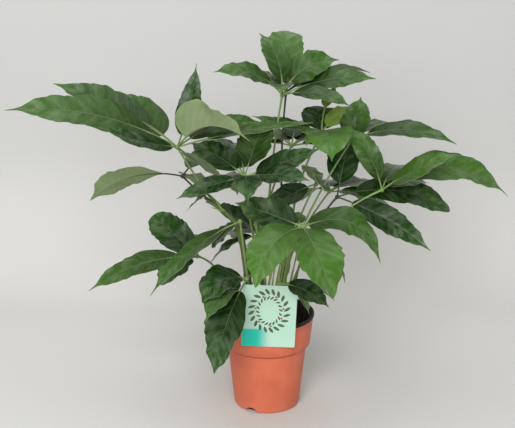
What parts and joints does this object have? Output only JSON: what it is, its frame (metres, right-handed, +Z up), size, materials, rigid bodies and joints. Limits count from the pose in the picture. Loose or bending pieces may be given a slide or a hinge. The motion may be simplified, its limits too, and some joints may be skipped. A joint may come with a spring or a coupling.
{
  "type": "potted umbrella tree",
  "caption": "Potted amate umbrella tree: tapered nursery pot with soil and a label card, green canes, and long-stalked leaves whose drooping leaflets spread from one hub like umbrella ribs.",
  "frame": {"origin": "centre of the pot's flat bottom, on the surface that the pot stands on", "axes": "+Z up, -Y towards the front, where the label card hangs, +X to the right seen from the front"},
  "size_m": [0.8489, 0.5689, 0.6657],
  "materials": {
    "pot": "satin",
    "soil": "matte",
    "plant_label": "satin",
    "cane": "matte",
    "leaf": "satin"
  },
  "bodies": {
    "root": {"cane_left": "cane", "cane_middle": "cane", "cane_right": "cane", "leaf_back_left": "leaf", "leaf_back_low": "leaf", "leaf_back_middle": "leaf", "leaf_back_right": "leaf", "leaf_centre": "leaf", "leaf_front": "leaf", "leaf_front_left": "leaf", "leaf_front_right": "leaf", "leaf_inner": "leaf", "leaf_inner_low": "leaf", "leaf_left": "leaf", "leaf_left_inner": "leaf", "leaf_left_small": "leaf", "leaf_low_left": "leaf", "leaf_right": "leaf", "leaf_right_low": "leaf", "leaf_right_upper": "leaf", "leaf_top_back": "leaf", "leaf_top_front": "leaf", "plant_label": "plant_label", "pot": "pot", "soil": "soil"}
  },
  "joints": []
}
